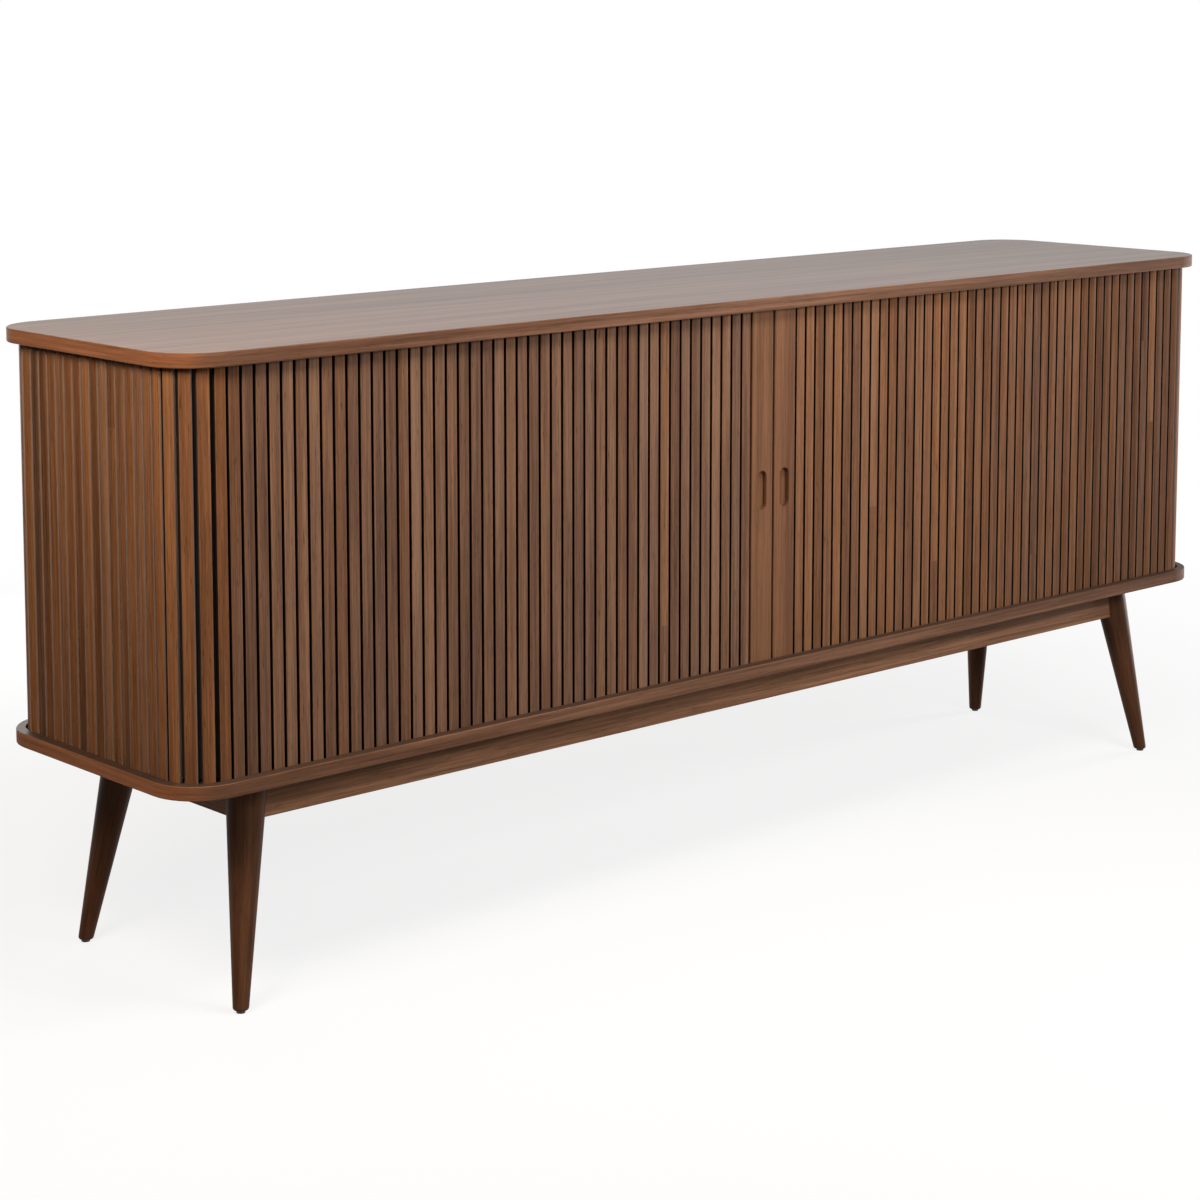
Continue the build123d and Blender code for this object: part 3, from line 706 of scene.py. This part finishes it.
class SIDEBOARD_OT_slats(Operator):
    """Models one slat and copies it along both tracks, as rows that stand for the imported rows"""

    bl_idname = "sideboard.slats"
    bl_label = "Slats"

    def model_slat(self, track):
        """A slat on the origin: back on the plane through the axis, rounded face to the front."""
        clear_selection()
        bpy.ops.mesh.primitive_cube_add(
            size=1,
            location=(0, -track.slat_depth / 2, (track.slat_foot + track.slat_head) / 2),
            scale=(track.slat_width, track.slat_depth, track.slat_head - track.slat_foot),
        )
        slat = bpy.context.object
        settle(slat)
        corners = slat.data.vertices
        at_front = {v.index for v in corners if v.co.y < -track.slat_depth / 2}
        front_uprights = [
            edge for edge in slat.data.edges
            if set(edge.vertices) <= at_front
            and abs(corners[edge.vertices[0]].co.x - corners[edge.vertices[1]].co.x) < 1e-6
        ]
        choose_elements(slat, front_uprights)
        bpy.ops.mesh.bevel(offset=track.slat_rounding, segments=3, profile=0.5, affect="EDGES")
        leave_edit()
        choose(slat)
        bpy.ops.object.shade_smooth_by_angle(angle=math.radians(50))
        for name, value_at in (
            ("slat_across", lambda place: 2 * place.x / track.slat_width),
            ("slat_behind", lambda place: 1 + place.y / track.slat_depth),
        ):
            attribute = slat.data.attributes.new(name, "FLOAT", "POINT")
            attribute.data.foreach_set("value", [value_at(v.co) for v in slat.data.vertices])
        return slat

    def copy_slat(self, slat, track, index, side, draw):
        """One slat at its place, with its own wood: paler to the middle, and warmer past the front
        as painted warm light.
        """
        choose(slat)
        bpy.ops.object.duplicate()
        copy = bpy.context.object
        copy.location, turn = track_place(track, index, side)
        copy.rotation_euler.z = turn + draw.uniform(-1, 1) * track.slat_turn
        settle(copy)
        last_at_front = SLAT_ROWS[0][2]
        if index <= last_at_front:
            tone = draw.gauss(MIDDLE_TONE * (1 - index / last_at_front), FRONT_TONE_SPREAD)
            # Left door cooler and right door warmer: a painted sheen on the left door
            hue = draw.gauss(DOOR_SHEEN_HUE * side + FRONT_HUE, FRONT_HUE_SPREAD)
        else:
            tone = draw.gauss(0.0, END_TONE_SPREAD)
            # Warmer hue past the front: painted warm light on the ends
            hue = draw.gauss(LIT_END_HUE, END_HUE_SPREAD)
        tone, hue = (max(-1.0, min(1.0, value)) for value in (tone, hue))
        jointed = draw.random() < track.joint_share
        joint = (
            draw.uniform(JOINT_LOW, JOINT_HIGH) if jointed else NO_JOINT,
            draw.uniform(-JOINT_TONE, JOINT_TONE), draw.uniform(-JOINT_HUE, JOINT_HUE),
        )
        count = len(copy.data.vertices)
        wood = (draw.uniform(0, GRAIN_SEEDS), tone, hue)
        for name, value in (("slat_wood", wood), ("slat_joint", joint)):
            attribute = copy.data.attributes.new(name, "FLOAT_VECTOR", "POINT")
            attribute.data.foreach_set("vector", list(value) * count)
        return copy

    def execute(self, context):
        track = context.scene.sideboard.track
        draw = random.Random(track.seed)
        slat = self.model_slat(track)
        for end, side in SIDES:
            for row, first, last in SLAT_ROWS:
                places = range(first, last + 1)
                choose(*[self.copy_slat(slat, track, place, side, draw) for place in places])
                bpy.ops.object.join()
                moves = row == "front"
                piece = finish_piece(
                    context.object, f"{end}_{row}_slat_row", f"{end}_door" if moves else "carcass",
                    "walnut_slat", "slat_walnut", f"{end}_{row}_slats",
                )
                if moves:
                    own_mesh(piece)
        bpy.data.objects.remove(slat)
        return {"FINISHED"}


class SIDEBOARD_OT_canvas(Operator):
    """Models the canvas behind the slats: a flat sheet on each door and a tail round each end"""

    bl_idname = "sideboard.canvas"
    bl_label = "Canvas"

    def upright_strip(self, start, end, y, foot, head):
        """An upright plane from one X to the other."""
        clear_selection()
        bpy.ops.mesh.primitive_plane_add(
            size=1, location=((start + end) / 2, y, (foot + head) / 2),
            rotation=(math.pi / 2, 0, 0),
        )
        strip = bpy.context.object
        strip.scale = (abs(end - start), head - foot, 1)
        settle(strip)
        return strip

    def last_edge(self, strip, reach):
        """The strip's edge that lies furthest by this measure, chosen in edit mode."""
        furthest = max(reach(v.co) for v in strip.data.vertices)
        ends = [v for v in strip.data.vertices if reach(v.co) > furthest - 1e-6]
        choose_elements(strip, ends)

    def map_weave(self, sheet, run_of):
        """The sheet's own map, in metres along the track and up."""
        mesh = sheet.data
        while mesh.uv_layers:
            mesh.uv_layers.remove(mesh.uv_layers[0])
        weave = mesh.uv_layers.new(name="weave")
        for loop in mesh.loops:
            place = mesh.vertices[loop.vertex_index].co
            weave.data[loop.index].uv = (run_of(place), place.z)

    def thicken(self, sheet, thickness):
        """Gives the sheet its thickness, half to either side."""
        choose(sheet)
        bpy.ops.object.mode_set(mode="EDIT")
        bpy.ops.mesh.select_all(action="SELECT")
        bpy.ops.mesh.remove_doubles(threshold=1e-6)
        bpy.ops.mesh.normals_make_consistent(inside=False)
        leave_edit()
        wall = sheet.modifiers.new("cloth", "SOLIDIFY")
        wall.thickness = thickness
        wall.offset = 0.0
        wall.use_even_offset = True
        bpy.ops.object.modifier_apply(modifier=wall.name)
        bpy.ops.object.shade_smooth_by_angle(angle=math.radians(40))

    def front_sheet(self, context, end, side):
        """The canvas behind a door's front row, cut up lengthwise so that it can be squeezed."""
        settings = context.scene.sideboard
        low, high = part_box(f"{end}_front_canvas")
        middle = (low.y + high.y) / 2
        sheet = self.upright_strip(low.x, high.x, middle, low.z, high.z)
        choose_elements(sheet, list(sheet.data.vertices))
        bpy.ops.mesh.subdivide(number_cuts=7)
        leave_edit()
        self.thicken(sheet, settings.canvas.thickness)
        self.map_weave(sheet, lambda place: abs(place.x))
        finish_piece(
            sheet, f"{end}_front_canvas_sheet", f"{end}_door", "black_canvas", "woven_canvas",
            f"{end}_front_canvas",
        )
        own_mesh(sheet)

    def tail_sheet(self, context, end, side):
        """The canvas behind the standing slats, drawn along the track from front to back."""
        settings = context.scene.sideboard
        track, steps = settings.track, settings.canvas.corner_steps
        low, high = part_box(f"{end}_tail_canvas")
        half = settings.canvas.thickness / 2
        depth = track.track_depth - half
        start = min(abs(low.x), abs(high.x))
        sheet = self.upright_strip(side * start, side * track.front_run, -depth, low.z, high.z)
        pivot_x = side * track.front_run
        for pivot_y, reach in (
            (-track.side_run / 2, lambda co: side * co.x),
            (track.side_run / 2, lambda co: co.y),
        ):
            self.last_edge(sheet, reach)
            bpy.ops.mesh.spin(
                steps=steps, angle=-side * math.pi / 2, center=(pivot_x, pivot_y, 0), axis=(0, 0, 1)
            )
            leave_edit()
            if pivot_y < 0:
                self.last_edge(sheet, lambda co: co.y)
                bpy.ops.mesh.extrude_region_move(
                    TRANSFORM_OT_translate={"value": (0, track.side_run, 0)}
                )
                leave_edit()
        self.last_edge(sheet, lambda co: co.y)
        bpy.ops.mesh.extrude_region_move(
            TRANSFORM_OT_translate={"value": (side * (start - track.front_run), 0, 0)}
        )
        leave_edit()
        self.thicken(sheet, settings.canvas.thickness)
        self.map_weave(sheet, lambda co: self.run_round(co, track))
        finish_piece(
            sheet, f"{end}_tail_canvas_sheet", "carcass", "black_canvas", "woven_canvas",
            f"{end}_tail_canvas",
        )

    def run_round(self, place, track):
        """Way along the track to a place on it, from the front round the end to the back."""
        x, y = abs(place.x) - track.front_run, place.y
        bend = track.track_radius * math.pi / 2
        if x <= 0:
            return x if y < 0 else 2 * bend + track.side_run - x
        if y < -track.side_run / 2:
            return track.track_radius * math.atan2(x, -track.side_run / 2 - y)
        if y <= track.side_run / 2:
            return bend + y + track.side_run / 2
        return bend + track.side_run + track.track_radius * math.atan2(y - track.side_run / 2, x)

    def execute(self, context):
        for end, side in SIDES:
            self.front_sheet(context, end, side)
            self.tail_sheet(context, end, side)
        return {"FINISHED"}


class SIDEBOARD_OT_boards(Operator):
    """Veneers the top and bottom boards, with the rim's grain running round the corners"""

    bl_idname = "sideboard.boards"
    bl_label = "Boards"

    def execute(self, context):
        dress("board_walnut", "top_board", "bottom_board")
        return {"FINISHED"}


class SIDEBOARD_OT_stiles(Operator):
    """Finishes the lead stiles and the battens that clamp the canvas to them"""

    bl_idname = "sideboard.stiles"
    bl_label = "Stiles"

    def execute(self, context):
        for end, _ in SIDES:
            dress("stile_walnut", f"{end}_lead_stile", f"{end}_canvas_batten")
        return {"FINISHED"}


class SIDEBOARD_OT_cabinet(Operator):
    """Veneers the panels, divider, shelves and backs"""

    bl_idname = "sideboard.cabinet"
    bl_label = "Cabinet"

    def execute(self, context):
        dress("inside_walnut_upright", "left_end_panel", "right_end_panel", "center_divider")
        dress("inside_walnut_long", "inner_back_panel", "back_panel", "left_shelf", "right_shelf")
        return {"FINISHED"}


class SIDEBOARD_OT_base(Operator):
    """Finishes the legs, rails, corner blocks and glides"""

    bl_idname = "sideboard.base"
    bl_label = "Base"

    def execute(self, context):
        for end, _ in SIDES:
            for face in ("front", "rear"):
                dress("leg_walnut", f"{face}_{end}_leg")
                dress("long_rail_walnut", f"{face}_{end}_corner_block")
        dress("long_rail_walnut", "front_rail", "rear_rail")
        dress("short_rail_walnut", "left_rail", "right_rail")
        dress("foot_plastic", "foot_glides")
        return {"FINISHED"}


class SIDEBOARD_OT_hardware(Operator):
    """Finishes the screws, bolts, washers, nuts, pins, dowels and stops"""

    bl_idname = "sideboard.hardware"
    bl_label = "Hardware"

    def execute(self, context):
        dress(
            "plated_steel", "inner_back_screws", "shelf_pins", "left_batten_screws",
            "right_batten_screws", "leg_bolts", "leg_washers", "leg_nuts", "base_screws",
        )
        dress("dowel_beech", "carcass_dowels", "rail_dowels")
        dress("stop_rubber", "door_stops")
        return {"FINISHED"}


class SIDEBOARD_OT_stage(Operator):
    """Sets up the camera, soft lamps, white surroundings and a pale floor that keeps the shadow"""

    bl_idname = "sideboard.stage"
    bl_label = "Stage"

    def seen_directly(self, tree):
        """1 for what is seen, straight or in gloss and glass, and 0 for light on the object."""
        path = add_node(tree, "LightPath").outputs
        seen = calc(tree, "MAXIMUM", path["Is Camera Ray"], path["Is Glossy Ray"])
        return calc(tree, "MAXIMUM", seen, path["Is Transmission Ray"])

    def surround(self, context):
        """A world that looks white and gives only a little even light."""
        world = bpy.data.worlds.new("studio")
        world.use_nodes = True
        tree = world.node_tree
        tree.nodes.clear()
        ambient = context.scene.sideboard.stage.ambient
        even = add_node(tree, "Background", {"Color": (1, 1, 1, 1), "Strength": ambient})
        white = add_node(tree, "Background", {"Color": (1, 1, 1, 1), "Strength": 1.0})
        shares = {0: self.seen_directly(tree), 1: even.outputs[0], 2: white.outputs[0]}
        mixed = add_node(tree, "MixShader", shares)
        out = add_node(tree, "OutputWorld")
        tree.links.new(mixed.outputs[0], out.inputs["Surface"])
        context.scene.world = world

    def lay_floor(self, context):
        """A floor that shows the shadow near the sideboard and is white further away."""
        stage = context.scene.sideboard.stage
        clear_selection()
        bpy.ops.mesh.primitive_plane_add(size=stage.floor_size, location=(0, 0, -FLOOR_DROP))
        floor = context.object
        settle(floor)
        floor.name = "studio_floor"
        material = bpy.data.materials.new("pale_floor")
        material.use_nodes = True
        tree = material.node_tree
        tree.nodes.clear()
        seen = self.seen_directly(tree)
        shade = mix_colours(tree, seen, opaque(stage.floor_bounce), opaque(stage.floor))
        matt = add_node(tree, "BsdfDiffuse", {"Color": shade})
        white = add_node(tree, "Emission", {"Color": (1, 1, 1, 1), "Strength": 1.0})
        away = add_node(tree, "VectorMath", {0: object_place(tree)}, operation="LENGTH")
        whiteness = remap(tree, away.outputs["Value"], FADE_START, FADE_END, LEAST_WHITE, 1.0)
        share = calc(tree, "MULTIPLY", seen, whiteness)
        mixed = add_node(tree, "MixShader", {0: share, 1: matt.outputs[0], 2: white.outputs[0]})
        out = add_node(tree, "OutputMaterial")
        tree.links.new(mixed.outputs[0], out.inputs["Surface"])
        floor.data.materials.append(material)

    def hang_lamp(self, name, energy, place, aim, wide, high, tint, mirrored):
        clear_selection()
        turn = (Vector(aim) - Vector(place)).to_track_quat("-Z", "Y").to_euler()
        bpy.ops.object.light_add(type="AREA", location=place, rotation=turn)
        lamp = bpy.context.object
        lamp.name = lamp.data.name = name
        lamp.data.energy, lamp.data.color = energy, tint
        lamp.data.shape = "RECTANGLE"
        lamp.data.size, lamp.data.size_y = wide, high
        lamp.visible_glossy = mirrored

    def execute(self, context):
        stage = context.scene.sideboard.stage
        clear_selection()
        bpy.ops.object.camera_add(
            location=stage.camera_place,
            rotation=(math.pi / 2 + stage.camera_pitch, 0, -stage.camera_yaw),
        )
        camera = context.object
        camera.name = "camera"
        camera.data.sensor_width = 36
        camera.data.lens = stage.camera_lens
        camera.data.shift_y = stage.camera_shift
        context.scene.camera = camera
        self.surround(context)
        self.lay_floor(context)
        for name, setting in LAMPS.items():
            self.hang_lamp(f"{name}_lamp", getattr(stage, f"{name}_power"), *setting)
        context.scene.view_settings.view_transform = "Standard"
        return {"FINISHED"}


class SIDEBOARD_PT_panel(Panel):
    """Lists the steps and the settings of the sideboard."""

    bl_idname = "SIDEBOARD_PT_panel"
    bl_label = "Sideboard"
    bl_space_type = "VIEW_3D"
    bl_region_type = "UI"
    bl_category = "Sideboard"

    def draw(self, context):
        for step in STEPS:
            self.layout.operator(step.bl_idname)
        settings = context.scene.sideboard
        for group in (settings.track, settings.canvas, settings.finish, settings.stage):
            box = self.layout.box()
            for name in group.__annotations__:
                box.prop(group, name)


SETTINGS = (TrackSettings, CanvasSettings, FinishSettings, StageSettings, SideboardSettings)
STEPS = (
    SIDEBOARD_OT_stage, SIDEBOARD_OT_boards, SIDEBOARD_OT_slats, SIDEBOARD_OT_canvas,
    SIDEBOARD_OT_stiles, SIDEBOARD_OT_cabinet, SIDEBOARD_OT_base, SIDEBOARD_OT_hardware,
)


def register():
    for kind in (*SETTINGS, *STEPS, SIDEBOARD_PT_panel):
        bpy.utils.register_class(kind)
    bpy.types.Scene.sideboard = PointerProperty(type=SideboardSettings)


def unregister():
    del bpy.types.Scene.sideboard
    for kind in reversed((*SETTINGS, *STEPS, SIDEBOARD_PT_panel)):
        bpy.utils.unregister_class(kind)


def main():
    register()
    for step in STEPS:
        family, name = step.bl_idname.split(".")
        getattr(getattr(bpy.ops, family), name)()


if __name__ == "__main__":
    main()
